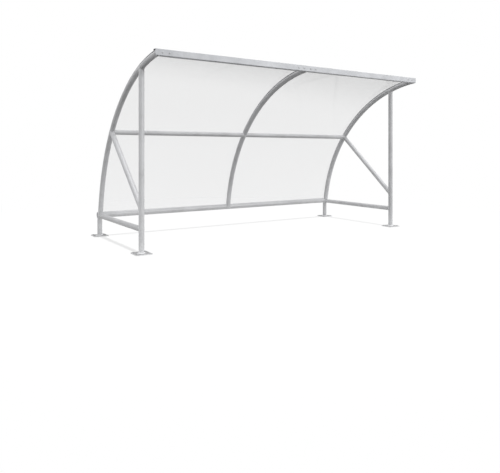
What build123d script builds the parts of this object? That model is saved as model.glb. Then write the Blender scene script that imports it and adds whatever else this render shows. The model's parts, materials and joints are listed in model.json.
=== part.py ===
"""A two-bay bike shelter: three bent tube hoops on a bottom rail, two front posts and curved clear sheets.

Lengths are in millimetres. X runs along the shelter, the open side faces -Y and Z is up. The origin lies
on the ground, at the middle of the length and of the depth.
"""

from build123d import *
from math import asin, cos, degrees, radians, sin, sqrt
import os

os.makedirs("parts", exist_ok=True)

# Driving dimensions: the plan and the heights
bay_pitch = 1900
post_to_leg = 1450
front_overhang = 436
bottom_rail_height = 270
side_rail_height = 261
mid_rail_height = 1320
brace_foot_height = 481

# Driving dimensions: the rolled curve of the hoops
hoop_radius = 2050
hoop_centre_height = 20

# Driving dimensions: sections
tube_diameter = 60.3
tube_wall = 3.2
bottom_rail_diameter = 76.1
bottom_rail_wall = 3.2
rail_height = 67
rail_depth = 60
rail_wall = 3
rail_corner_radius = 5
rail_overhang = 24

# Driving dimensions: feet
plate_size = 180
plate_thickness = 10
plate_corner_radius = 6
plate_edge_chamfer = 1
anchor_spacing = 130
anchor_hole = 14

# Driving dimensions: sheets and what holds them
sheet_thickness = 4
sheet_seat = 0.3
sheet_joint = 8
sheet_side_margin = 10
seal_gap = 6
strip_width = 30
strip_thickness = 3

# Driving dimensions: cleats that carry the front rail
cleat_thickness = 6
cleat_height = 30
cleat_clearance = 6
cleat_length = 170
cleat_bolt_first = 52
cleat_bolt_pitch = 76
cleat_bolt_hole = 9

# Driving dimensions: end plugs of the bottom rail
plug_flange = 4
plug_depth = 25

# Fits
weld_gap = 0.2
notch_clearance = 1.5

# Places worked out from the driving dimensions
tube_radius = tube_diameter / 2
bottom_rail_radius = bottom_rail_diameter / 2
overall_depth = front_overhang + post_to_leg + plate_size / 2
post_y = front_overhang - overall_depth / 2
leg_y = post_y + post_to_leg
rail_front_y = post_y - front_overhang
rail_inner_y = rail_front_y + rail_wall
rail_back_y = rail_front_y + rail_depth
rail_fold_radius = rail_corner_radius - rail_wall
hoop_front_y = rail_inner_y + cleat_thickness + weld_gap
bottom_rail_end = bay_pitch + tube_radius - plug_flange
sheet_end_x = bay_pitch + tube_radius - sheet_side_margin
bottom_rail_top = bottom_rail_height + bottom_rail_radius
sheet_inner_radius = hoop_radius + tube_radius + sheet_seat
sheet_outer_radius = sheet_inner_radius + sheet_thickness
sheet_middle_radius = (sheet_inner_radius + sheet_outer_radius) / 2
hoop_centre_y = leg_y - sqrt(sheet_middle_radius**2 - (bottom_rail_top - hoop_centre_height) ** 2)


def curve_height(radius, y):
    """Height at depth y of a curve that shares the hoops' centre."""
    return hoop_centre_height + sqrt(radius**2 - (y - hoop_centre_y) ** 2)


def curve_depth(radius, z):
    """Depth at height z of a curve that shares the hoops' centre."""
    return hoop_centre_y + sqrt(radius**2 - (z - hoop_centre_height) ** 2)


def angle_at_height(radius, z):
    """Angle above the horizontal, seen from the hoops' centre, of a curve at height z."""
    return degrees(asin((z - hoop_centre_height) / radius))


rail_top = curve_height(sheet_outer_radius, rail_inner_y) + seal_gap + rail_wall
rail_bottom = rail_top - rail_height
cleat_middle = curve_height(sheet_inner_radius, rail_inner_y) - cleat_clearance - cleat_height / 2
mid_rail_y = curve_depth(hoop_radius, mid_rail_height)
sides = {"left": -1, "middle": 0, "right": 1}
end_sides = {"left": -1, "right": 1}


def cross_plane(x, angle):
    """Plane across the rolled curve at an angle: its y axis points away from the hoops' centre."""
    turn = radians(angle)
    along_curve = (0, -sin(turn), cos(turn))
    return Plane(origin=(x, hoop_centre_y, hoop_centre_height), x_dir=(1, 0, 0), z_dir=along_curve)


def curve_axis(x):
    """Axis that the rolled pieces turn about."""
    return Axis((x, hoop_centre_y, hoop_centre_height), (1, 0, 0))


def hoop_core(x):
    """Solid core of a hoop, used to cope the tubes that end on it."""
    with BuildPart() as core:
        with BuildSketch(cross_plane(x, 0)):
            with Locations((0, hoop_radius)):
                Circle(tube_radius + weld_gap)
        revolve(axis=curve_axis(x), revolution_arc=90)
    return core.part


def brace_core(x):
    """Solid core of a side brace, used to clear the rail that ends beside it."""
    foot = Vector(x, post_y, brace_foot_height)
    head = Vector(x, mid_rail_y, mid_rail_height)
    with BuildPart() as core:
        with BuildSketch(Plane(origin=foot, z_dir=head - foot)):
            Circle(tube_radius + weld_gap)
        extrude(amount=(head - foot).length)
    return core.part


def bottom_rail_core():
    """Solid core of the bottom rail, used to cope the hoops, legs and side rails that end on it."""
    with BuildPart() as core:
        with BuildSketch(Plane.YZ):
            with Locations((leg_y, bottom_rail_height)):
                Circle(bottom_rail_radius + weld_gap)
        extrude(amount=bay_pitch + tube_diameter, both=True)
    return core.part


def post_core(x):
    """Solid core of a front post, used to cope the tubes that end on it."""
    with BuildPart() as core:
        with BuildSketch(Plane.XY):
            with Locations((x, post_y)):
                Circle(tube_radius + weld_gap)
        extrude(amount=rail_top)
    return core.part


def save(part, name):
    """Labels a finished piece and writes its file."""
    part.label = name
    export_step(part, f"parts/{name}.step")


rail_core = bottom_rail_core()

# Base plates with four anchor holes each
for depth_name, plate_y in {"front": post_y, "rear": leg_y}.items():
    for side, sign in end_sides.items():
        with BuildPart() as base_plate:
            with BuildSketch(Plane.XY):
                with Locations((sign * bay_pitch, plate_y)):
                    RectangleRounded(plate_size, plate_size, plate_corner_radius)
                    with GridLocations(anchor_spacing, anchor_spacing, 2, 2):
                        Circle(anchor_hole / 2, mode=Mode.SUBTRACT)
            extrude(amount=plate_thickness)
            upper_rim = base_plate.faces().sort_by(Axis.Z)[-1].outer_wire().edges()
            chamfer(upper_rim, length=plate_edge_chamfer)
        save(base_plate.part, f"base_plate_{depth_name}_{side}")

# Front posts, coped to the underside of the end hoops
for side, sign in end_sides.items():
    core = hoop_core(sign * bay_pitch)
    with BuildPart() as front_post:
        with BuildSketch(Plane.XY.offset(plate_thickness)):
            with Locations((sign * bay_pitch, post_y)):
                Circle(tube_radius)
                Circle(tube_radius - tube_wall, mode=Mode.SUBTRACT)
        extrude(amount=curve_height(hoop_radius, post_y) - plate_thickness)
        add(core, mode=Mode.SUBTRACT)
    save(front_post.part, f"front_post_{side}")

# Rear legs, coped to the underside of the bottom rail
for side, sign in end_sides.items():
    with BuildPart() as rear_leg:
        with BuildSketch(Plane.XY.offset(plate_thickness)):
            with Locations((sign * bay_pitch, leg_y)):
                Circle(tube_radius)
                Circle(tube_radius - tube_wall, mode=Mode.SUBTRACT)
        extrude(amount=bottom_rail_height - plate_thickness)
        add(rail_core, mode=Mode.SUBTRACT)
    save(rear_leg.part, f"rear_leg_{side}")

# Bottom rail, the long tube that the hoops stand on
with BuildPart() as bottom_rail:
    with BuildSketch(Plane.YZ):
        with Locations((leg_y, bottom_rail_height)):
            Circle(bottom_rail_radius)
            Circle(bottom_rail_radius - bottom_rail_wall, mode=Mode.SUBTRACT)
    extrude(amount=bottom_rail_end, both=True)
save(bottom_rail.part, "bottom_rail")

# End plugs of the bottom rail
for side, sign in end_sides.items():
    rail_end = Plane(origin=(sign * bottom_rail_end, leg_y, bottom_rail_height), z_dir=(sign, 0, 0))
    with BuildPart() as end_plug:
        with BuildSketch(rail_end):
            Circle(bottom_rail_radius)
        extrude(amount=plug_flange)
        fillet(end_plug.edges().sort_by(Axis.X)[-1 if sign > 0 else 0], radius=plug_flange / 2)
        with BuildSketch(rail_end):
            Circle(bottom_rail_radius - bottom_rail_wall - weld_gap)
        extrude(amount=-plug_depth)
    save(end_plug.part, f"bottom_rail_plug_{side}")

# Hoops, rolled to one radius, coped onto the bottom rail and cut square behind the front rail
for side, sign in sides.items():
    x = sign * bay_pitch
    with BuildPart() as hoop:
        with BuildSketch(cross_plane(x, 0)):
            with Locations((0, hoop_radius)):
                Circle(tube_radius)
                Circle(tube_radius - tube_wall, mode=Mode.SUBTRACT)
        revolve(axis=curve_axis(x), revolution_arc=90)
        split(bisect_by=Plane.XY.offset(bottom_rail_height), keep=Keep.TOP)
        split(bisect_by=Plane.XZ.offset(-hoop_front_y), keep=Keep.BOTTOM)
        add(rail_core, mode=Mode.SUBTRACT)
    save(hoop.part, f"hoop_{side}")

# Side rails, from each front post to the bottom rail
for side, sign in end_sides.items():
    x = sign * bay_pitch
    core = hoop_core(x)
    post = post_core(x)
    with BuildPart() as side_rail:
        with BuildSketch(Plane.XZ.offset(-post_y)):
            with Locations((x, side_rail_height)):
                Circle(tube_radius)
                Circle(tube_radius - tube_wall, mode=Mode.SUBTRACT)
        extrude(amount=-post_to_leg)
        add(post, mode=Mode.SUBTRACT)
        add(rail_core, mode=Mode.SUBTRACT)
        add(core, mode=Mode.SUBTRACT)
    save(side_rail.part.solids().sort_by(SortBy.VOLUME)[-1], f"side_rail_{side}")

# Side braces, from each front post up to the hoop beside the mid rail
for side, sign in end_sides.items():
    x = sign * bay_pitch
    core = hoop_core(x)
    post = post_core(x)
    foot = Vector(x, post_y, brace_foot_height)
    head = Vector(x, mid_rail_y, mid_rail_height)
    with BuildPart() as side_brace:
        with BuildSketch(Plane(origin=foot, z_dir=head - foot)):
            Circle(tube_radius)
            Circle(tube_radius - tube_wall, mode=Mode.SUBTRACT)
        extrude(amount=(head - foot).length)
        add(post, mode=Mode.SUBTRACT)
        add(core, mode=Mode.SUBTRACT)
    save(side_brace.part, f"side_brace_{side}")

# Mid rails, one a bay, coped between the hoops
for side, sign in end_sides.items():
    outer_core = hoop_core(sign * bay_pitch)
    middle_core = hoop_core(0)
    brace = brace_core(sign * bay_pitch)
    with BuildPart() as mid_rail:
        with BuildSketch(Plane.YZ):
            with Locations((mid_rail_y, mid_rail_height)):
                Circle(tube_radius)
                Circle(tube_radius - tube_wall, mode=Mode.SUBTRACT)
        extrude(amount=sign * bay_pitch)
        add(middle_core, mode=Mode.SUBTRACT)
        add(outer_core, mode=Mode.SUBTRACT)
        add(brace, mode=Mode.SUBTRACT)
    save(mid_rail.part.solids().sort_by(SortBy.VOLUME)[-1], f"mid_rail_{side}")

# Front rail, a folded channel open to the rear, notched underneath for the hoops
with BuildPart() as front_rail:
    with BuildSketch(Plane.YZ):
        with BuildLine():
            Polyline(
                (rail_back_y, rail_top),
                (rail_front_y, rail_top),
                (rail_front_y, rail_bottom),
                (rail_back_y, rail_bottom),
                (rail_back_y, rail_bottom + rail_wall),
                (rail_inner_y, rail_bottom + rail_wall),
                (rail_inner_y, rail_top - rail_wall),
                (rail_back_y, rail_top - rail_wall),
                close=True,
            )
        make_face()
    extrude(amount=bay_pitch + rail_overhang, both=True)
    lengthwise_edges = front_rail.edges().filter_by(Axis.X).group_by(Axis.Y)
    outer_folds = lengthwise_edges[0]
    inner_folds = lengthwise_edges[1]
    fillet(inner_folds, radius=rail_fold_radius)
    fillet(outer_folds, radius=rail_corner_radius)
    with BuildSketch(Plane.XY.offset(rail_bottom)):
        with Locations(*[(sign * bay_pitch, hoop_front_y - notch_clearance) for sign in sides.values()]):
            Rectangle(tube_diameter + 2 * notch_clearance, rail_depth, align=(Align.CENTER, Align.MIN))
    extrude(amount=rail_corner_radius, mode=Mode.SUBTRACT)
    bolt_places = [
        (sign * bay_pitch + hand * (cleat_bolt_first + step * cleat_bolt_pitch), cleat_middle)
        for sign in sides.values()
        for hand in (-1, 1)
        for step in (0, 1)
        if hand * sign <= 0
    ]
    with BuildSketch(Plane.XZ.offset(-rail_front_y)):
        with Locations(*bolt_places):
            Circle(cleat_bolt_hole / 2)
    extrude(amount=-rail_wall, mode=Mode.SUBTRACT)
save(front_rail.part, "front_rail")

# Cleats, flat bars across the hoops' ends that bolt behind the front rail's face
for side, sign in sides.items():
    x = sign * bay_pitch
    inboard = [hand for hand in (-1, 1) if hand * sign <= 0]
    with BuildPart() as cleat:
        with BuildSketch(Plane.XZ.offset(-rail_inner_y)):
            with Locations((x, cleat_middle)):
                Rectangle(tube_diameter, cleat_height)
            for hand in inboard:
                inboard_end = Align.MIN if hand > 0 else Align.MAX
                with Locations((x, cleat_middle)):
                    Rectangle(cleat_length, cleat_height, align=(inboard_end, Align.CENTER))
                for step in (0, 1):
                    with Locations((x + hand * (cleat_bolt_first + step * cleat_bolt_pitch), cleat_middle)):
                        Circle(cleat_bolt_hole / 2, mode=Mode.SUBTRACT)
        extrude(amount=-cleat_thickness)
    save(cleat.part, f"rail_cleat_{side}")

# Curved clear sheets, one a bay, from the bottom rail into the front rail
sheet_start = angle_at_height(sheet_middle_radius, bottom_rail_top)
for side, sign in end_sides.items():
    inner_edge = sheet_joint / 2
    sheet_width = sheet_end_x - inner_edge
    with BuildPart() as sheet:
        with BuildSketch(cross_plane(0, 0)):
            with Locations((sign * (inner_edge + sheet_end_x) / 2, sheet_middle_radius)):
                Rectangle(sheet_width, sheet_thickness)
        revolve(axis=curve_axis(0), revolution_arc=90)
        split(bisect_by=cross_plane(0, sheet_start), keep=Keep.TOP)
        split(bisect_by=Plane.XZ.offset(-(rail_inner_y + sheet_seat)), keep=Keep.BOTTOM)
        add(rail_core, mode=Mode.SUBTRACT)
    save(sheet.part, f"clear_sheet_{side}")

# Rubber seals between the sheets and the front rail's top flange
for side, sign in end_sides.items():
    inner_edge = sheet_joint / 2
    seal_length = sheet_end_x - inner_edge
    with BuildPart() as seal:
        with BuildSketch(Plane.YZ.offset(sign * inner_edge)):
            with Locations((rail_back_y, rail_top - rail_wall)):
                Rectangle(rail_depth - rail_corner_radius, rail_height / 2, align=(Align.MAX, Align.MAX))
            with Locations((hoop_centre_y, hoop_centre_height)):
                Circle(sheet_outer_radius, mode=Mode.SUBTRACT)
        extrude(amount=sign * seal_length)
    save(seal.part, f"front_seal_{side}")

# Cover strips that hold the sheets' edges down on the hoops
strip_start = angle_at_height(sheet_outer_radius, bottom_rail_top)
for side, sign in sides.items():
    x = sign * bay_pitch
    with BuildPart() as cover_strip:
        with BuildSketch(cross_plane(x, 0)):
            with Locations((0, sheet_outer_radius + strip_thickness / 2)):
                Rectangle(strip_width, strip_thickness)
        revolve(axis=curve_axis(x), revolution_arc=90)
        split(bisect_by=cross_plane(x, strip_start), keep=Keep.TOP)
        split(bisect_by=Plane.XZ.offset(-(rail_back_y + weld_gap)), keep=Keep.BOTTOM)
        add(rail_core, mode=Mode.SUBTRACT)
    save(cover_strip.part, f"cover_strip_{side}")
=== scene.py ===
# %% [markdown]
# A two-bay bike shelter, dressed around its CAD frame.
#
# The frame holds every tube, plate and sheet at its real size, and nothing here moves them. This script
# gives them their finishes: matt galvanised steel, clear plastic with a hint of grey, black rubber and grey
# plastic. It adds what is too small for the frame: weld beads, nuts, washers, bolt heads and screws. All
# lengths are metres.

# %% The frame

import bpy
import json
from math import atan2, ceil, cos, degrees, pi, radians, sin, sqrt
from mathutils import Matrix, Vector


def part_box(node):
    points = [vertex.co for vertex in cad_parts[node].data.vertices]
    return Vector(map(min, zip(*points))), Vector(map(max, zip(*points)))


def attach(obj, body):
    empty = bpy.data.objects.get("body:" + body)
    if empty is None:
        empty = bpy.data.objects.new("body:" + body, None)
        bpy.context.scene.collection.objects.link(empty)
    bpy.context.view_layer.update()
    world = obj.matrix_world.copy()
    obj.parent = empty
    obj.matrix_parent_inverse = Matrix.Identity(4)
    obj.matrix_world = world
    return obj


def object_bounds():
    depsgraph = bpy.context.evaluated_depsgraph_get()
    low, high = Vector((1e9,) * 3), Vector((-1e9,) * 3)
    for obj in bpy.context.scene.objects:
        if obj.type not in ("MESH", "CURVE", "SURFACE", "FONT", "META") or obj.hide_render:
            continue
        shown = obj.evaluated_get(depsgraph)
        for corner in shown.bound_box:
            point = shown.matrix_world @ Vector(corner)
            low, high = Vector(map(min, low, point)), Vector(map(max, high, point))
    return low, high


X, Y, Z = 0, 1, 2

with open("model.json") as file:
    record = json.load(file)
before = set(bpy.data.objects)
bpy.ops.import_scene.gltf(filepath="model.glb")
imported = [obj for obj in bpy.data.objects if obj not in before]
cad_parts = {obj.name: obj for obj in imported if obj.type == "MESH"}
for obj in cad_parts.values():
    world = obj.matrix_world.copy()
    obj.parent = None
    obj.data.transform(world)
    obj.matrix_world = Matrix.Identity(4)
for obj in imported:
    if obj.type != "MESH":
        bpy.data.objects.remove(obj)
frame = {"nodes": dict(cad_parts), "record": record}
cad_low, cad_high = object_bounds()
print("The frame measures", [round(size, 3) for size in cad_high - cad_low], "m")

# %% [markdown]
# The camera comes first, so that every later choice can be judged in the view it is made for. It is level,
# a little over a metre above the ground, and stands to the left of the shelter's near end. A level camera
# keeps upright posts upright; the lens is shifted instead of tilted to bring the shelter into the upper
# half of the picture, as an architectural photographer would.

# %% The camera

PICTURE_WIDTH, PICTURE_HEIGHT = 500, 473
CENTRE_COLUMN, HORIZON_ROW = 254.65, 151.98
FOCAL_PIXELS = 527.46
SENSOR_WIDTH = 36.0
EYE = Vector((-3.970, -5.877, 1.080))
TURN = radians(33.35)

camera_data = bpy.data.cameras.new("camera")
camera_data.sensor_width = SENSOR_WIDTH
camera_data.lens = SENSOR_WIDTH * FOCAL_PIXELS / PICTURE_WIDTH
camera_data.shift_x = (PICTURE_WIDTH / 2 - CENTRE_COLUMN) / PICTURE_WIDTH
camera_data.shift_y = (HORIZON_ROW - PICTURE_HEIGHT / 2) / PICTURE_WIDTH
camera = bpy.data.objects.new("camera", camera_data)
camera.location = EYE
camera.rotation_euler = (pi / 2, 0, -TURN)
bpy.context.scene.collection.objects.link(camera)
bpy.context.scene.camera = camera
bpy.context.scene.view_settings.view_transform = "Standard"
print("The lens is", round(camera_data.lens, 1), "mm")

# %% [markdown]
# Sums and products of a material's values read best as Python. The class below wraps one socket, so that
# `grain * 0.2 + 0.4` adds the two Math nodes it stands for. Every node comes from one method of the recipe
# that owns the material's tree.

# %% Sockets that add and multiply


class Wire:
    """A value on its way through a recipe's nodes."""

    def __init__(self, recipe, socket):
        self.recipe = recipe
        self.socket = socket

    def combine(self, operation, first, second):
        """One Math node on two values, each a wire or a plain number."""
        return self.recipe.node("Math", {"operation": operation}, {0: first, 1: second})

    def __add__(self, other):
        return self.combine("ADD", self, other)

    def __sub__(self, other):
        return self.combine("SUBTRACT", self, other)

    def __rsub__(self, other):
        return self.combine("SUBTRACT", other, self)

    def __mul__(self, other):
        return self.combine("MULTIPLY", self, other)

    def __pow__(self, other):
        return self.combine("POWER", self, other)

    def at_least(self, low):
        return self.combine("MAXIMUM", self, low)

    def at_most(self, high):
        return self.combine("MINIMUM", self, high)

    def without_sign(self):
        return self.recipe.node("Math", {"operation": "ABSOLUTE"}, {0: self})


class Recipe:
    """The nodes of one material, or of the world."""

    def __init__(self, owner):
        owner.use_nodes = True
        self.tree = owner.node_tree
        self.tree.nodes.clear()

    def node(self, kind, settings=None, inputs=None, output=0):
        """Adds a node, sets it up, fills its sockets and gives back one of its outputs."""
        made = self.tree.nodes.new("ShaderNode" + kind)
        for name, value in (settings or {}).items():
            setattr(made, name, value)
        for name, value in (inputs or {}).items():
            if isinstance(value, Wire):
                self.tree.links.new(value.socket, made.inputs[name])
            else:
                made.inputs[name].default_value = value
        if not made.outputs:
            return None
        return Wire(self, made.outputs[output])

    def blend(self, factor, first, second):
        """Mixes two colours. A Mix node's colour sockets are found by number, because its names repeat."""
        return self.node("Mix", {"data_type": "RGBA"}, {0: factor, 6: first, 7: second}, output=2)

    def rise(self, value, starts, ends, soft=False):
        """Climbs from 0 to 1 while the value goes from its start to its end, evenly or with soft ends."""
        climb = {"interpolation_type": "SMOOTHSTEP" if soft else "LINEAR"}
        return self.node("MapRange", climb, {"Value": value, "From Min": starts, "From Max": ends})

    def finish(self, shader):
        """Makes the shader the recipe's result."""
        self.node("OutputMaterial", {}, {"Surface": shader})


def new_recipe(name):
    """Starts a material, and gives back both it and its recipe."""
    material = bpy.data.materials.new(name)
    return material, Recipe(material)


# %% [markdown]
# Hot-dip galvanised steel is not shiny. After some weeks outdoors the zinc is a matt, slightly blue grey,
# with spangles: crystals a centimetre or so wide that differ a little in tone. Cells of a Voronoi pattern
# give the spangles, a slow noise gives the clouds that come from an uneven dip, and a fine noise gives the
# grain that keeps highlights from looking like plastic. The pattern is laid in the object's own coordinates,
# so it runs on from tube to tube at one scale.
#
# Thin folded sheet, thick tube and weld metal take the zinc differently, so each has its own two tones. The
# beads at the tubes' feet are far lighter: that is a painted highlight, the bright ring where a tube stands
# on its plate. A long piece can be made lighter towards one end, as painted light for a brighter reflection
# there. Flat plates are darkened by soil and by painted shade on their tops, except close to a tube's foot,
# which is left light to carry on the painted highlight of that bright ring.

# %% Galvanised steel

ZINC_DARK = (0.455, 0.458, 0.463, 1)
ZINC_LIGHT = (0.675, 0.678, 0.686, 1)
ZINC_ROUGH = 0.44
METALLIC = 0.15
SPANGLES_PER_METRE = 85
CLOUDS_PER_METRE = 5
GRAINS_PER_METRE = 900
CLOUD_LOW, CLOUD_HIGH = 0.3, 0.7
SPANGLE_SHARE, CLOUD_SHARE, GRAIN_SHARE = 0.30, 0.55, 0.15
SPANGLE_ROUGHNESS, CLOUD_ROUGHNESS = 0.14, 0.05
SPANGLE_RELIEF, GRAIN_RELIEF = 0.4, 0.6
ZINC_BUMP, ZINC_BUMP_DEPTH = 0.10, 0.0004
SOIL_AND_SHADE = (0.10, 0.10, 0.10, 1)
SOIL_AND_SHADE_STARTS, SOIL_AND_SHADE_ENDS = 0.036, 0.062
SOIL_AND_SHADE_MOTTLE = 0.2
FLAT_STARTS, FLAT_ENDS = 0.80, 0.98


def with_soil_and_shade(recipe, colour, place, cloud_spread, soil_and_shade, foot):
    """The colour, darkened where the surface lies flat and is away from the foot of a tube."""
    upward = recipe.node("NewGeometry", output="Normal")
    flatness = recipe.node("SeparateXYZ", {}, {"Vector": upward}, output="Z")
    lying = recipe.rise(flatness, FLAT_STARTS, FLAT_ENDS)
    from_foot = recipe.node("VectorMath", {"operation": "DISTANCE"}, {0: place, 1: foot}, output="Value")
    away = recipe.rise(from_foot, SOIL_AND_SHADE_STARTS, SOIL_AND_SHADE_ENDS, soft=True)
    mottled = cloud_spread * SOIL_AND_SHADE_MOTTLE + (soil_and_shade - SOIL_AND_SHADE_MOTTLE / 2)
    # The dark blended in here is soil and painted shade on the plates' tops.
    return recipe.blend(lying * away * mottled, colour, SOIL_AND_SHADE)


def galvanised(
    name, dark=ZINC_DARK, light=ZINC_LIGHT, rough=ZINC_ROUGH, tone_share=1.0, painted_light_drift=0.0, soil_and_shade=0.0, foot=None
):
    """Matt zinc with spangles, clouds and a fine grain.

    The tone share makes a piece lighter or darker as a whole. Painted light lightens it by so much a metre
    along X, and soil with painted shade darkens what lies flat, away from the foot of a tube.
    """
    material, recipe = new_recipe(name)
    place = recipe.node("TexCoord", output="Object")
    crystal = recipe.node("TexVoronoi", {}, {"Vector": place, "Scale": SPANGLES_PER_METRE}, output="Color")
    spangle = recipe.node("SeparateColor", {}, {"Color": crystal})
    cloud_inputs = {"Vector": place, "Scale": CLOUDS_PER_METRE, "Detail": 5.0, "Roughness": 0.6}
    cloud = recipe.node("TexNoise", {}, cloud_inputs)
    grain = recipe.node("TexNoise", {}, {"Vector": place, "Scale": GRAINS_PER_METRE, "Detail": 2.0})
    cloud_spread = recipe.rise(cloud, CLOUD_LOW, CLOUD_HIGH)
    tone = spangle * SPANGLE_SHARE + cloud_spread * CLOUD_SHARE + grain * GRAIN_SHARE
    if painted_light_drift:
        along = recipe.node("SeparateXYZ", {}, {"Vector": place}, output="X")
        tone = tone + along * painted_light_drift
    dark, light = [tuple(channel * tone_share for channel in zinc[:3]) + (1,) for zinc in (dark, light)]
    colour = recipe.blend(tone, dark, light)
    if soil_and_shade:
        colour = with_soil_and_shade(recipe, colour, place, cloud_spread, soil_and_shade, foot)
    evened = rough - SPANGLE_ROUGHNESS / 2
    roughness = spangle * SPANGLE_ROUGHNESS + evened + cloud_spread * CLOUD_ROUGHNESS
    height = grain * GRAIN_RELIEF + spangle * SPANGLE_RELIEF
    bump_inputs = {"Strength": ZINC_BUMP, "Distance": ZINC_BUMP_DEPTH, "Height": height}
    bump = recipe.node("Bump", {}, bump_inputs)
    skin = {"Base Color": colour, "Metallic": METALLIC, "Roughness": roughness, "Normal": bump}
    recipe.finish(recipe.node("BsdfPrincipled", {}, skin))
    return material


steel = galvanised("galvanised steel")
# The front rail grows lighter towards its right end: painted light, standing for the brighter reflection
# there.
folded_steel = galvanised("zinc on folded sheet", (0.40, 0.41, 0.425, 1), (0.68, 0.69, 0.71, 1), painted_light_drift=0.13)
# The foot beads are nearly white: a painted highlight, the bright ring where each tube stands on its plate.
foot_weld_highlight = galvanised("painted highlight on foot welds", (0.74, 0.742, 0.75, 1), (0.88, 0.883, 0.89, 1), rough=0.40)
weld_zinc = galvanised("zinc over welds", (0.60, 0.603, 0.61, 1), (0.80, 0.803, 0.81, 1), rough=0.42)
bolt_zinc = galvanised("zinc on bolts", (0.44, 0.445, 0.45, 1), (0.62, 0.625, 0.63, 1), rough=0.40)

# %% [markdown]
# The sheets are clear plastic a few millimetres thick. Against a white ground they show as a light, neutral
# grey, and they darken where the eye looks along them, as under the roof at the far end. A glass shader
# would refract the frame and burn render time; a thin sheet hardly bends the light at all. So the sheet
# is a glossy grey surface with a low alpha that rises towards grazing angles.

# %% Clear sheet

SHEET_GREY = (0.42, 0.43, 0.44, 1)
SHEET_ROUGHNESS, SHEET_IOR = 0.06, 1.57
CLEAR_SHARE, SLANTED_SHARE, GRAZING_SHARE = 0.102, 0.14, 0.50
FACING_BLEND = 0.35
SLANT_STARTS, SLANT_ENDS = 0.35, 0.65
GRAZING_POWER = 9


def clear_plastic(name):
    """Clear, faintly grey plastic that reflects more and lets less through where it is seen edge on."""
    material, recipe = new_recipe(name)
    facing = recipe.node("LayerWeight", {}, {"Blend": FACING_BLEND}, output="Facing")
    slanted = recipe.rise(facing, SLANT_STARTS, SLANT_ENDS, soft=True)
    alpha = slanted * SLANTED_SHARE + facing**GRAZING_POWER * GRAZING_SHARE + CLEAR_SHARE
    skin = {"Base Color": SHEET_GREY, "Roughness": SHEET_ROUGHNESS, "IOR": SHEET_IOR, "Alpha": alpha}
    recipe.finish(recipe.node("BsdfPrincipled", {}, skin))
    return material


clear_sheet = clear_plastic("clear sheet")

# %% [markdown]
# The last two finishes are dull. The seals under the front rail are black rubber, and the plugs in the
# bottom rail's ends are grey moulded plastic with a fine texture. One recipe makes both, in two colours.

# %% Rubber and plug plastic

PATCHES_PER_METRE = 14.0
PATCH_GAIN, PATCH_LIFT = 1.5, 0.01
SKIN_BUMP = 0.25
SKIN_ROUGHNESS, SKIN_MIDDLE = 0.15, 0.07


def moulded(name, colour, rough, grains, depth):
    """A dull moulded material with a fine skin: so many grains a metre, each so deep."""
    material, recipe = new_recipe(name)
    place = recipe.node("TexCoord", output="Object")
    grain = recipe.node("TexNoise", {}, {"Vector": place, "Scale": grains, "Detail": 3.0})
    patch = recipe.node("TexNoise", {}, {"Vector": place, "Scale": PATCHES_PER_METRE, "Detail": 3.0})
    lighter = tuple(channel * PATCH_GAIN + PATCH_LIFT for channel in colour[:3]) + (1,)
    base = recipe.blend(patch, colour, lighter)
    bump = recipe.node("Bump", {}, {"Strength": SKIN_BUMP, "Distance": depth, "Height": grain})
    roughness = grain * SKIN_ROUGHNESS + (rough - SKIN_MIDDLE)
    skin = {"Base Color": base, "Roughness": roughness, "Normal": bump}
    recipe.finish(recipe.node("BsdfPrincipled", {}, skin))
    return material


rubber = moulded("seal rubber", (0.018, 0.018, 0.019, 1), rough=0.75, grains=700, depth=0.0002)
plug_plastic = moulded("plug plastic", (0.30, 0.30, 0.31, 1), rough=0.55, grains=1100, depth=0.0001)

# %% [markdown]
# The CAD nodes keep their meshes and only change their material. The record names the slot of each node, so
# one table from slot to finish dresses all of them. A second table makes some tubes a shade lighter or darker
# than the rest, as painted light and shade for how much light each one gets. The rear plates carry more soil
# and painted shade than the front ones.

# %% Dressing the frame

FINISHES = {
    "galvanised_steel": steel,
    "clear_sheet": clear_sheet,
    "rubber_seal": rubber,
    "end_plug": plug_plastic,
}
TUBE_PAINTED_LIGHT_AND_SHADE = {
    "front_post_left": 1.12,
    "front_post_right": 0.95,
    "side_rail_left": 0.82,
    "side_rail_right": 0.96,
    "bottom_rail": 0.94,
    "rear_leg_right": 0.85,
    "mid_rail_left": 0.97,
    "mid_rail_right": 0.97,
}
PLATE_SOIL_AND_SHADE = {"front": 0.55, "rear": 0.85}


def dress(node_name, material):
    """Gives a CAD node its material."""
    for material_slot in frame["nodes"][node_name].material_slots:
        material_slot.material = material


for entry in frame["record"]["subparts"]:
    dress(entry["node"], FINISHES[entry["material_slot"]])
dress("front_rail", folded_steel)
# Each plate's share darkens its top with soil and painted shade.
for depth_name, soil_and_shade in PLATE_SOIL_AND_SHADE.items():
    for end in ("left", "right"):
        plate_low, plate_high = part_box(f"base_plate_{depth_name}_{end}")
        foot = ((plate_low[X] + plate_high[X]) / 2, (plate_low[Y] + plate_high[Y]) / 2, plate_high[Z])
        soiled_and_shaded = galvanised(f"zinc on the {depth_name} {end} plate", soil_and_shade=soil_and_shade, foot=foot)
        dress(f"base_plate_{depth_name}_{end}", soiled_and_shaded)
# Each share makes a tube lighter or darker as painted light and shade.
for node_name, tone_share in TUBE_PAINTED_LIGHT_AND_SHADE.items():
    dress(node_name, galvanised("zinc on " + node_name.replace("_", " "), tone_share=tone_share))
print("Dressed", len(frame["nodes"]), "nodes")

# %% [markdown]
# Every later piece sits on the frame, so its place is read from the frame. Boxes of the nodes give the
# tubes' axes and radii. The hoops are arcs of one circle: three points on the outer side of the middle hoop,
# well apart along its curve, fix its centre and radius.

# %% Places read from the frame


def middle(node_name):
    """Centre of a CAD node's box."""
    low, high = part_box(node_name)
    return (low + high) / 2


def width(node_name, axis):
    """Size of a CAD node's box along an axis."""
    low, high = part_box(node_name)
    return high[axis] - low[axis]


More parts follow.
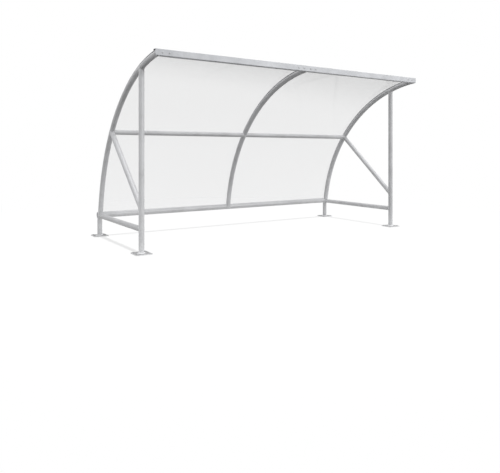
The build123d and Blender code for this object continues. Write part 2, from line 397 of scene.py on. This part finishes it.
END_X = middle("front_post_right")[X]
POST_Y = middle("front_post_right")[Y]
LEG_Y = middle("rear_leg_right")[Y]
TUBE_RADIUS = width("front_post_right", X) / 2
RAIL_RADIUS = width("bottom_rail", Y) / 2
RAIL_Z = middle("bottom_rail")[Z]
SIDE_RAIL_Z = middle("side_rail_right")[Z]
MID_RAIL = Vector((0, middle("mid_rail_right")[Y], middle("mid_rail_right")[Z]))
PLATE_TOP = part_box("base_plate_front_right")[1][Z]
HOOPS = {"left": -END_X, "middle": 0.0, "right": END_X}
ENDS = {"left": -1, "right": 1}
CLEAR_OF_RAIL = 0.1
STEEPNESS = 4
print("Tubes of", round(TUBE_RADIUS * 2000, 1), "and", round(RAIL_RADIUS * 2000, 1), "mm")


def hoop_circle():
    """Centre and radius, in the YZ plane, of the arc that the hoops' axes follow."""
    skin = [vertex.co for vertex in frame["nodes"]["hoop_middle"].data.vertices]
    above_rail = [point for point in skin if point[Z] > RAIL_Z + CLEAR_OF_RAIL]
    outermost = max(skin, key=lambda point: point[Y] + point[Z])
    crest = max(skin, key=lambda point: point[Z] * STEEPNESS - point[Y])
    foot = max(above_rail, key=lambda point: point[Y] * STEEPNESS - point[Z])
    (y1, z1), (y2, z2), (y3, z3) = [(point[Y], point[Z]) for point in (outermost, crest, foot)]
    square1, square2, square3 = y1 * y1 + z1 * z1, y2 * y2 + z2 * z2, y3 * y3 + z3 * z3
    scale = 2 * (y1 * (z2 - z3) + y2 * (z3 - z1) + y3 * (z1 - z2))
    centre_y = (square1 * (z2 - z3) + square2 * (z3 - z1) + square3 * (z1 - z2)) / scale
    centre_z = (square1 * (y3 - y2) + square2 * (y1 - y3) + square3 * (y2 - y1)) / scale
    return centre_y, centre_z, sqrt((y1 - centre_y) ** 2 + (z1 - centre_z) ** 2) - TUBE_RADIUS


CENTRE_Y, CENTRE_Z, HOOP_RADIUS = hoop_circle()
print("The hoops' arc has a radius of", round(HOOP_RADIUS, 3), "m")

# %% [markdown]
# A weld bead follows the line where one tube meets another, and that line is awkward to write down: a
# saddle on a straight tube, a bent saddle on a rolled one. But it is easy to find. From each point round
# the end of the tube a ray runs along it until it reaches the other surface, and the distance that is
# left tells the ray how far it may safely jump. This is sphere tracing, and it needs only a function that
# says how far a point is from the surface.

# %% Distances to the frame's surfaces


def to_base_plate(point):
    """Distance to the base plates' top."""
    return point[Z] - PLATE_TOP


def to_bottom_rail(point):
    """Distance to the bottom rail."""
    return Vector((point[Y] - LEG_Y, point[Z] - RAIL_Z)).length - RAIL_RADIUS


def to_post(x):
    """Distance to the front post at x, as a function."""
    return lambda point: Vector((point[X] - x, point[Y] - POST_Y)).length - TUBE_RADIUS


def to_hoop(x):
    """Distance to the hoop at x, as a function."""

    def distance(point):
        from_axis = Vector((point[Y] - CENTRE_Y, point[Z] - CENTRE_Z)).length - HOOP_RADIUS
        return Vector((point[X] - x, from_axis)).length - TUBE_RADIUS

    return distance


NEAR_ENOUGH = 0.00005
MOST_JUMPS = 90


def meeting_line(start, direction, distance, count):
    """Points where a tube of the frame's own size, running from start, meets a surface."""
    along = Vector(direction).normalized()
    across = along.orthogonal().normalized()
    third = along.cross(across)
    line = []
    for step in range(count):
        angle = 2 * pi * step / count
        point = Vector(start) + (across * cos(angle) + third * sin(angle)) * TUBE_RADIUS
        left = distance(point)
        for _ in range(MOST_JUMPS):
            further = point + along * left
            still_left = distance(further)
            if still_left > left:
                break
            point, left = further, still_left
            if left < NEAR_ENOUGH:
                break
        line.append(point)
    return line


# %% [markdown]
# A good hand weld looks like a row of overlapping coins. The bead is a tube along the meeting line whose
# radius swells and shrinks once for each coin, and zinc rounds off the edges of the coins. A slow wave on
# top of that is the welder's hand. Sections across a closed line are placed with the line's own tangent and
# the direction away from the tube, so they never twist.

# %% Weld beads

BEAD_RADIUS, FOOT_BEAD_RADIUS = 0.0045, 0.0075
POINTS_ROUND_A_TUBE = 160
COIN_LENGTH = 0.0042
FEWEST_COINS = 12
COIN_EDGE, COIN_RISE = 0.86, 0.20
HAND_WAVE, HAND_PACE = 0.06, 0.37
SECTIONS_A_COIN = 4
SIDES_OF_A_BEAD = 8
SHORTEST_EDGE = 1e-9


def mesh_object(name, vertices, faces, material):
    """Makes a smooth mesh piece that rides on the frame."""
    mesh = bpy.data.meshes.new(name)
    mesh.from_pydata([tuple(vertex) for vertex in vertices], [], faces)
    mesh.materials.append(material)
    mesh.polygons.foreach_set("use_smooth", [True] * len(mesh.polygons))
    mesh.update()
    piece = bpy.data.objects.new(name, mesh)
    bpy.context.scene.collection.objects.link(piece)
    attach(piece, "root")
    return piece


def even_loop(line):
    """The same closed line, with points an even distance apart that fit whole coins."""
    lengths = [(line[(i + 1) % len(line)] - line[i]).length for i in range(len(line))]
    total = sum(lengths)
    count = max(FEWEST_COINS, ceil(total / COIN_LENGTH)) * SECTIONS_A_COIN
    points = []
    reached, edge = 0.0, 0
    for step in range(count):
        goal = total * step / count
        while reached + lengths[edge] < goal:
            reached += lengths[edge]
            edge += 1
        share = (goal - reached) / max(lengths[edge], SHORTEST_EDGE)
        points.append(line[edge].lerp(line[(edge + 1) % len(line)], share))
    return points


def bead(line, outward_from, bead_radius):
    """Vertices and faces of one weld bead along a closed line."""
    points = even_loop(line)
    count = len(points)
    vertices, faces = [], []
    for i, point in enumerate(points):
        tangent = (points[(i + 1) % count] - points[i - 1]).normalized()
        outward = point - outward_from(point)
        outward = (outward - tangent * outward.dot(tangent)).normalized()
        side = tangent.cross(outward)
        coin_share = (i % SECTIONS_A_COIN) / SECTIONS_A_COIN
        coin = COIN_EDGE + COIN_RISE * sin(pi * coin_share)
        radius = bead_radius * coin * (1 + HAND_WAVE * sin(i * HAND_PACE))
        for corner in range(SIDES_OF_A_BEAD):
            turn = 2 * pi * corner / SIDES_OF_A_BEAD
            vertices.append(point + outward * (cos(turn) * radius) + side * (sin(turn) * radius))
    for i in range(count):
        here, there = i * SIDES_OF_A_BEAD, (i + 1) % count * SIDES_OF_A_BEAD
        for corner in range(SIDES_OF_A_BEAD):
            after = (corner + 1) % SIDES_OF_A_BEAD
            faces.append((here + corner, here + after, there + after, there + corner))
    return vertices, faces


def tube_axis(start, direction):
    """Gives a function that finds the nearest point of a straight tube's axis."""
    base, along = Vector(start), Vector(direction).normalized()
    return lambda point: base + along * (point - base).dot(along)


def weld(name, joints, bead_radius=BEAD_RADIUS, material=weld_zinc):
    """One piece that holds the weld beads of several joints, each a start, a direction and a distance."""
    vertices, faces = [], []
    for start, direction, distance in joints:
        line = meeting_line(start, direction, distance, POINTS_ROUND_A_TUBE)
        more_vertices, more_faces = bead(line, tube_axis(start, direction), bead_radius)
        offset = len(vertices)
        vertices += more_vertices
        faces += [tuple(corner + offset for corner in face) for face in more_faces]
    return mesh_object(name, vertices, faces, material)


# %% [markdown]
# Each joint is a point on the axis of the tube that ends there, a direction and what it is welded to. The
# points lie in the tube's free length, where its whole section is clear of its neighbours. A side rail's two
# joints are found from its middle, and a brace's from a point below its head, which lies on the mid rail's
# axis.

# %% Welds at every joint

UP, DOWN = Vector((0, 0, 1)), Vector((0, 0, -1))
REARWARD, FORWARD = Vector((0, 1, 0)), Vector((0, -1, 0))
RIGHTWARD = Vector((1, 0, 0))
LOW_ON_A_LEG = 0.1
HIGH_ON_A_POST = 1.2
ALONG_A_MID_RAIL = 0.5
BELOW_A_BRACE_HEAD = 0.6
ABOVE_THE_RAIL = 0.02


def direction_of(node_name):
    """Direction of a straight tube: that of its longest edge, pointing upward."""
    mesh = frame["nodes"][node_name].data
    edges = [mesh.vertices[b].co - mesh.vertices[a].co for a, b in mesh.edge_keys]
    longest = max(edges, key=lambda edge: edge.length)
    return longest.normalized() * (1 if longest[Z] > 0 else -1)


foot_rise = RAIL_Z + RAIL_RADIUS + ABOVE_THE_RAIL - CENTRE_Z
foot_reach = sqrt(HOOP_RADIUS**2 - foot_rise**2)
hoop_foot_way = Vector((0, foot_rise, -foot_reach))


def hoop_foot(x):
    """A point on the axis of the hoop at x, a little above the bottom rail."""
    return Vector((x, CENTRE_Y + foot_reach, CENTRE_Z + foot_rise))


BRACE_UP = direction_of("side_brace_right")
print("The braces rise at", round(degrees(atan2(BRACE_UP[Z], BRACE_UP[Y])), 1), "degrees")
for end, sign in ENDS.items():
    x = sign * END_X
    post_foot = Vector((x, POST_Y, LOW_ON_A_LEG))
    leg_foot = Vector((x, LEG_Y, LOW_ON_A_LEG))
    foot_joints = [(post_foot, DOWN, to_base_plate), (leg_foot, DOWN, to_base_plate)]
    # Their light zinc is a painted highlight.
    weld(f"foot_welds_{end}", foot_joints, FOOT_BEAD_RADIUS, foot_weld_highlight)
    side_rail_middle = Vector((x, (POST_Y + LEG_Y) / 2, SIDE_RAIL_Z))
    on_brace = Vector((x, MID_RAIL[Y], MID_RAIL[Z])) - BRACE_UP * BELOW_A_BRACE_HEAD
    near_end = Vector((x - sign * ALONG_A_MID_RAIL, MID_RAIL[Y], MID_RAIL[Z]))
    near_middle = Vector((sign * ALONG_A_MID_RAIL, MID_RAIL[Y], MID_RAIL[Z]))
    frame_joints = [
        (Vector((x, POST_Y, HIGH_ON_A_POST)), UP, to_hoop(x)),
        (leg_foot, UP, to_bottom_rail),
        (side_rail_middle, REARWARD, to_bottom_rail),
        (side_rail_middle, FORWARD, to_post(x)),
        (on_brace, BRACE_UP, to_hoop(x)),
        (on_brace, -BRACE_UP, to_post(x)),
        (near_end, RIGHTWARD * sign, to_hoop(x)),
        (near_middle, RIGHTWARD * -sign, to_hoop(0)),
        (hoop_foot(x), hoop_foot_way, to_bottom_rail),
    ]
    weld(f"frame_welds_{end}", frame_joints)
weld("frame_welds_middle", [(hoop_foot(0), hoop_foot_way, to_bottom_rail)])

# %% [markdown]
# Nuts, washers and bolt heads are small in the picture, but they tell the eye how big everything else is. A
# real hexagon has its corners turned off by a cone, which leaves the curved arcs that make a nut look like a
# nut. The rim of the shape below drops wherever the hexagon is wider than that cone.

# %% Washers, hexagons and threads

SAMPLES_ROUND = 48
CONE_SHARE = 0.95
CONE_SLOPE = 0.577
SHARPEST_SMOOTH = radians(32)
WASHER_SOFTNESS = 0.2
CREST_ENDS, GROOVE_AT, CREST_STARTS = 0.15, 0.50, 0.85
TIP_SHARE = 0.3


class Hardware:
    """Vertices and faces of many small turned or six-sided pieces, gathered into one mesh."""

    def __init__(self):
        self.vertices = []
        self.faces = []

    def stack(self, rings, place):
        """Joins closed rings of points, one after the other, and closes both ends."""
        first = len(self.vertices)
        count = len(rings[0])
        for ring in rings:
            self.vertices += [place @ Vector(point) for point in ring]
        for level in range(len(rings) - 1):
            for i in range(count):
                a = first + level * count + i
                b = first + level * count + (i + 1) % count
                self.faces.append((a, b, b + count, a + count))
        self.faces.append(tuple(first + i for i in reversed(range(count))))
        last = first + (len(rings) - 1) * count
        self.faces.append(tuple(last + i for i in range(count)))

    def turned(self, profile, place, count=SAMPLES_ROUND):
        """A turned piece from pairs of a radius and a height."""
        angles = [2 * pi * i / count for i in range(count)]
        rings = [[(cos(a) * radius, sin(a) * radius, height) for a in angles] for radius, height in profile]
        self.stack(rings, place)

    def hexagon(self, flats, base, height, place):
        """A hexagon with turned corners, flats wide across, from base up to base + height."""
        bottom, rim, crown = [], [], []
        cone_radius = flats / 2 * CONE_SHARE
        for i in range(SAMPLES_ROUND):
            angle = 2 * pi * i / SAMPLES_ROUND
            from_flat = (angle + pi / 6) % (pi / 3) - pi / 6
            radius = flats / 2 / cos(from_flat)
            drop = max(0.0, radius - cone_radius) * CONE_SLOPE
            bottom.append((cos(angle) * radius, sin(angle) * radius, base))
            rim.append((cos(angle) * radius, sin(angle) * radius, base + height - drop))
            crown.append((cos(angle) * cone_radius, sin(angle) * cone_radius, base + height))
        self.stack([bottom, rim, crown], place)

    def piece(self, name, material, slot):
        """The gathered mesh as one piece, with smooth turned faces and crisp edges."""
        made = mesh_object(name, self.vertices, self.faces, material)
        made.data.set_sharp_from_angle(angle=SHARPEST_SMOOTH)


def washer_profile(inner, outer, thickness):
    """A flat washer's section with slightly rounded rims."""
    soft = thickness * WASHER_SOFTNESS
    return [
        (inner, 0.0),
        (outer - soft, 0.0),
        (outer, soft),
        (outer, thickness - soft),
        (outer - soft, thickness),
        (inner, thickness),
    ]


def thread_profile(radius, depth, pitch, base, top):
    """A threaded end: a saw of rings, then a chamfered tip."""
    profile = [(radius, base)]
    height = base
    while height + pitch < top - depth:
        profile.append((radius, height + pitch * CREST_ENDS))
        profile.append((radius - depth, height + pitch * GROOVE_AT))
        profile.append((radius, height + pitch * CREST_STARTS))
        height += pitch
    profile += [(radius, top - depth), (radius - depth, top), (radius * TIP_SHARE, top)]
    return profile


# %% [markdown]
# Each base plate is held by four screw anchors. The record lists every plate's bolt pattern as a mount, so
# the anchors go exactly where the holes are. A washer covers the hole, and a low hexagon head sits on it. No
# two heads stop at the same angle: each one's place decides its turn.

# %% Anchors in the base plates

ANCHOR_BORE, ANCHOR_WASHER_RADIUS, ANCHOR_WASHER_THICKNESS = 0.0062, 0.0125, 0.0020
ANCHOR_FLATS, ANCHOR_HEAD_HEIGHT = 0.017, 0.0062
ANCHOR_TURN_BY_X, ANCHOR_TURN_BY_Y = 37.0, 91.0

anchor_washer = washer_profile(ANCHOR_BORE, ANCHOR_WASHER_RADIUS, ANCHOR_WASHER_THICKNESS)
for mount in frame["record"]["mounts"]:
    if mount["kind"] != "bolt_pattern":
        continue
    anchors = Hardware()
    dims = mount["dims"]
    for across in (-0.5, 0.5):
        for along in (-0.5, 0.5):
            x = mount["pos_m"][X] + across * dims["spacing_x_mm"] / 1000
            y = mount["pos_m"][Y] + along * dims["spacing_y_mm"] / 1000
            turn = (x * ANCHOR_TURN_BY_X + y * ANCHOR_TURN_BY_Y) % (pi / 3)
            place = Matrix.Translation((x, y, PLATE_TOP)) @ Matrix.Rotation(turn, 4, "Z")
            anchors.turned(anchor_washer, place)
            anchors.hexagon(ANCHOR_FLATS, ANCHOR_WASHER_THICKNESS, ANCHOR_HEAD_HEIGHT, place)
    anchors.piece(mount["name"] + "_heads", bolt_zinc, "galvanised_steel")

# %% [markdown]
# The front rail is bolted to a flat cleat on the end of each hoop: two bolts a side, with their heads on the
# rail's face and their nuts behind the cleat. The cleats of the end hoops reach to one side only, so a place
# past a cleat's end gets no bolt.

# %% Bolts of the front rail

BOLT_STEPS = (0.052, 0.128)
BOLT_TURN = 53.0
M8_BORE, M8_WASHER_RADIUS, M8_WASHER_THICKNESS = 0.0042, 0.008, 0.0012
M8_FLATS, M8_HEAD_HEIGHT, M8_NUT_HEIGHT = 0.013, 0.0045, 0.0068
M8_RADIUS, M8_THREAD_DEPTH, M8_PITCH = 0.004, 0.0006, 0.00125
M8_END = 0.004
M8_NUT_TOP = M8_WASHER_THICKNESS + M8_NUT_HEIGHT
THREAD_SAMPLES = 24

m8_washer = washer_profile(M8_BORE, M8_WASHER_RADIUS, M8_WASHER_THICKNESS)
m8_thread = thread_profile(M8_RADIUS, M8_THREAD_DEPTH, M8_PITCH, M8_NUT_TOP, M8_NUT_TOP + M8_END)
rail_face_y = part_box("front_rail")[0][Y]
for side, hoop_x in HOOPS.items():
    cleat_low, cleat_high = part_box(f"rail_cleat_{side}")
    bolts = Hardware()
    for hand in (-1, 1):
        for step in BOLT_STEPS:
            x = hoop_x + hand * step
            if not cleat_low[X] < x < cleat_high[X]:
                continue
            z = (cleat_low[Z] + cleat_high[Z]) / 2
            turn = Matrix.Rotation((x * BOLT_TURN) % (pi / 3), 4, "Z")
            outside = Matrix.Translation((x, rail_face_y, z)) @ Matrix.Rotation(pi / 2, 4, "X") @ turn
            inside = Matrix.Translation((x, cleat_high[Y], z)) @ Matrix.Rotation(-pi / 2, 4, "X") @ turn
            bolts.turned(m8_washer, outside)
            bolts.hexagon(M8_FLATS, M8_WASHER_THICKNESS, M8_HEAD_HEIGHT, outside)
            bolts.turned(m8_washer, inside)
            bolts.hexagon(M8_FLATS, M8_WASHER_THICKNESS, M8_NUT_HEIGHT, inside)
            bolts.turned(m8_thread, inside, THREAD_SAMPLES)
    bolts.piece(f"rail_bolts_{side}", bolt_zinc, "galvanised_steel")

# %% [markdown]
# On the outside, each cover strip is screwed into its hoop, through a sheet or the joint between two. Roofing
# screws have a small hexagon on a wide flange, and a rubber washer that stands out a little all round it.

# %% Screws of the cover strips

SCREW_SPACING = 0.28
END_DISTANCE = 0.06
SCREW_TURN = 0.41
SHANK_RADIUS = 0.002
RUBBER_RADIUS, RUBBER_THICKNESS = 0.0082, 0.0022
FLANGE_RADIUS, FLANGE_THICKNESS = 0.0075, 0.0012
FLANGE_TOP_RADIUS, FLANGE_FALL = 0.005, 0.0004
FLANGE_TOP = RUBBER_THICKNESS + FLANGE_THICKNESS
SCREW_FLATS, SCREW_HEIGHT = 0.008, 0.0048

cushion_profile = [
    (SHANK_RADIUS, 0.0),
    (RUBBER_RADIUS, 0.0),
    (RUBBER_RADIUS, RUBBER_THICKNESS),
    (SHANK_RADIUS, RUBBER_THICKNESS),
]
flange_profile = [
    (SHANK_RADIUS, RUBBER_THICKNESS),
    (FLANGE_RADIUS, RUBBER_THICKNESS),
    (FLANGE_RADIUS, FLANGE_TOP - FLANGE_FALL),
    (FLANGE_TOP_RADIUS, FLANGE_TOP),
]
for side, hoop_x in HOOPS.items():
    strip = [vertex.co for vertex in frame["nodes"][f"cover_strip_{side}"].data.vertices]
    radius = max(Vector((point[Y] - CENTRE_Y, point[Z] - CENTRE_Z)).length for point in strip)
    angles = [atan2(point[Z] - CENTRE_Z, point[Y] - CENTRE_Y) for point in strip]
    first_angle, last_angle = min(angles) + END_DISTANCE / radius, max(angles) - END_DISTANCE / radius
    gaps = round((last_angle - first_angle) * radius / SCREW_SPACING)
    heads, cushions = Hardware(), Hardware()
    for step in range(gaps + 1):
        angle = first_angle + (last_angle - first_angle) * step / gaps
        point = (hoop_x, CENTRE_Y + cos(angle) * radius, CENTRE_Z + sin(angle) * radius)
        place = Matrix.Translation(point) @ Matrix.Rotation(angle - pi / 2, 4, "X")
        place = place @ Matrix.Rotation(step * SCREW_TURN, 4, "Z")
        cushions.turned(cushion_profile, place)
        heads.turned(flange_profile, place)
        heads.hexagon(SCREW_FLATS, FLANGE_TOP, SCREW_HEIGHT, place)
    heads.piece(f"strip_screws_{side}", bolt_zinc, "galvanised_steel")
    cushions.piece(f"strip_washers_{side}", rubber, "rubber_seal")

# %% [markdown]
# The shelter stands on a floor that is white in the picture, with no edge. For the rays that show it, most
# of the floor's tone is a white glow, and the rest is plain matt grey under a lamp of its own, which is what
# shade can take away. Far out the floor fades into plain white.
#
# For soft bounced light the floor is only a dim grey, so that the undersides of the tubes stay darker than
# their tops. Near the lines straight below the bottom rail and the side rails it is far brighter, because
# rails so close to the ground are lit by the ground that lies right under them.

# %% Floor

FLOOR_SIZE = 60.0
FLOOR_DROP = 0.0005
FLOOR_SEEN = (0.11, 0.11, 0.11, 1)
FLOOR_GLOW = 0.79
NEAR_BOUNCE = (0.82, 0.82, 0.82, 1)
FAR_BOUNCE = (0.08, 0.08, 0.08, 1)
NEAR_ENDS, FAR_STARTS = 0.12, 0.45
FADE_STARTS, FADE_ENDS = 3.0, 5.5
WHITE = (1, 1, 1, 1)


def seen_directly(recipe):
    """1 for rays that show the surface itself: from the camera, in a reflection or through a sheet."""
    seen = recipe.node("LightPath", output="Is Camera Ray")
    for name in ("Is Glossy Ray", "Is Transmission Ray"):
        seen = seen.at_least(recipe.node("LightPath", output=name))
    return seen


floor_material, floor_recipe = new_recipe("floor")
floor_seen = seen_directly(floor_recipe)
floor_place = floor_recipe.node("TexCoord", output="Object")
from_middle = floor_recipe.node("VectorMath", {"operation": "LENGTH"}, {0: floor_place}, output="Value")
fade = floor_recipe.rise(from_middle, FADE_STARTS, FADE_ENDS, soft=True)
floor_x = floor_recipe.node("SeparateXYZ", {}, {"Vector": floor_place}, output="X")
floor_y = floor_recipe.node("SeparateXYZ", {}, {"Vector": floor_place}, output="Y")
past_side = floor_x.without_sign() - END_X
behind = floor_y - LEG_Y
before = (POST_Y - floor_y).at_least(0.0)
from_back_line = (past_side.at_least(0.0) ** 2 + behind.without_sign() ** 2) ** 0.5
from_side_line = (past_side.without_sign() ** 2 + before**2 + behind.at_least(0.0) ** 2) ** 0.5
from_lines = from_back_line.at_most(from_side_line)
far_off = floor_recipe.rise(from_lines, NEAR_ENDS, FAR_STARTS, soft=True)
bounce_tone = floor_recipe.blend(far_off, NEAR_BOUNCE, FAR_BOUNCE)
floor_bounce = floor_recipe.node("Emission", {}, {"Color": bounce_tone})
shaded_floor = floor_recipe.node("BsdfDiffuse", {}, {"Color": FLOOR_SEEN})
white_floor = floor_recipe.node("Emission", {}, {"Color": WHITE})
whiteness = fade * (1 - FLOOR_GLOW) + FLOOR_GLOW
shown_floor = floor_recipe.node("MixShader", {}, {0: whiteness, 1: shaded_floor, 2: white_floor})
floor_shader = floor_recipe.node("MixShader", {}, {0: floor_seen, 1: floor_bounce, 2: shown_floor})
floor_recipe.finish(floor_shader)

half = FLOOR_SIZE / 2
floor_corners = [(-half, -half, 0), (half, -half, 0), (half, half, 0), (-half, half, 0)]
floor_mesh = bpy.data.meshes.new("floor")
floor_mesh.from_pydata(floor_corners, [], [(0, 1, 2, 3)])
floor_mesh.materials.append(floor_material)
floor = bpy.data.objects.new("floor", floor_mesh)
floor.location.z = -FLOOR_DROP
bpy.context.scene.collection.objects.link(floor)

# %% [markdown]
# The world is white wherever the camera, a reflection or a clear sheet looks at it. Where it lights the
# steel it is a sky, brighter overhead than at the horizon.

# %% World

HORIZON_LIGHT = (0.80, 0.80, 0.812, 1)
ZENITH_LIGHT = (1.42, 1.42, 1.44, 1)

world = bpy.data.worlds.new("studio")
bpy.context.scene.world = world
world_recipe = Recipe(world)
sky_way = world_recipe.node("TexCoord", output="Generated")
sky_height = world_recipe.node("SeparateXYZ", {}, {"Vector": sky_way}, output="Z")
overhead = world_recipe.rise(sky_height, 0.0, 1.0)
sky_colour = world_recipe.blend(overhead, HORIZON_LIGHT, ZENITH_LIGHT)
world_colour = world_recipe.blend(seen_directly(world_recipe), sky_colour, WHITE)
world_shader = world_recipe.node("Background", {}, {"Color": world_colour, "Strength": 1.0})
world_recipe.node("OutputWorld", {}, {"Surface": world_shader})

# %% [markdown]
# A tube looks round only if its sides differ in tone. One large soft lamp stands far off to the right of the
# camera, so each post is lighter on its right side than on its left, and a weak broad light straight above
# lifts the tops of the rails.
#
# The third light is for the floor alone. Light linking names the one object that it falls on and the low
# pieces that shade it. So it can be narrow enough to draw thin lines of shade under the rails and plates
# near the ground, and it adds no light to the steel.

# %% Lamps

SIDE_LAMP_PLACE = Vector((12.0, -20.5, 8.0))
SIDE_LAMP_SIZE, SIDE_LAMP_WATTS = 5.0, 1500
TOP_LIGHT, TOP_SPREAD = 0.8, 26
FLOOR_LIGHT, FLOOR_LIGHT_SPREAD = 25.5, 7
SUN_HEIGHT = 6
LOW_PIECES = ("base_plate", "rear_leg", "bottom_rail", "side_rail", "front_post")


def soft_lamp(name, place, aim, size, power):
    """A square soft lamp that points at a place."""
    data = bpy.data.lights.new(name, "AREA")
    data.shape = "SQUARE"
    data.size = size
    data.energy = power
    made = bpy.data.objects.new(name, data)
    made.location = place
    made.rotation_mode = "QUATERNION"
    made.rotation_quaternion = (aim - place).to_track_quat("-Z", "Y")
    bpy.context.scene.collection.objects.link(made)


def light_from_above(name, strength, spread):
    """A sun straight above, spread over some degrees of the sky."""
    data = bpy.data.lights.new(name, "SUN")
    data.energy = strength
    data.angle = radians(spread)
    made = bpy.data.objects.new(name, data)
    made.location = (0, 0, SUN_HEIGHT)
    bpy.context.scene.collection.objects.link(made)
    return made


soft_lamp("lamp right", SIDE_LAMP_PLACE, (cad_low + cad_high) / 2, SIDE_LAMP_SIZE, SIDE_LAMP_WATTS)
light_from_above("light from above", TOP_LIGHT, TOP_SPREAD)
floor_light = light_from_above("light on the floor", FLOOR_LIGHT, FLOOR_LIGHT_SPREAD)
lit_floor = bpy.data.collections.new("lit by the floor's lamp")
lit_floor.objects.link(floor)
floor_light.light_linking.receiver_collection = lit_floor
low_steel = bpy.data.collections.new("steel that shades the floor")
for node_name, node in frame["nodes"].items():
    if node_name.startswith(LOW_PIECES):
        low_steel.objects.link(node)
floor_light.light_linking.blocker_collection = low_steel
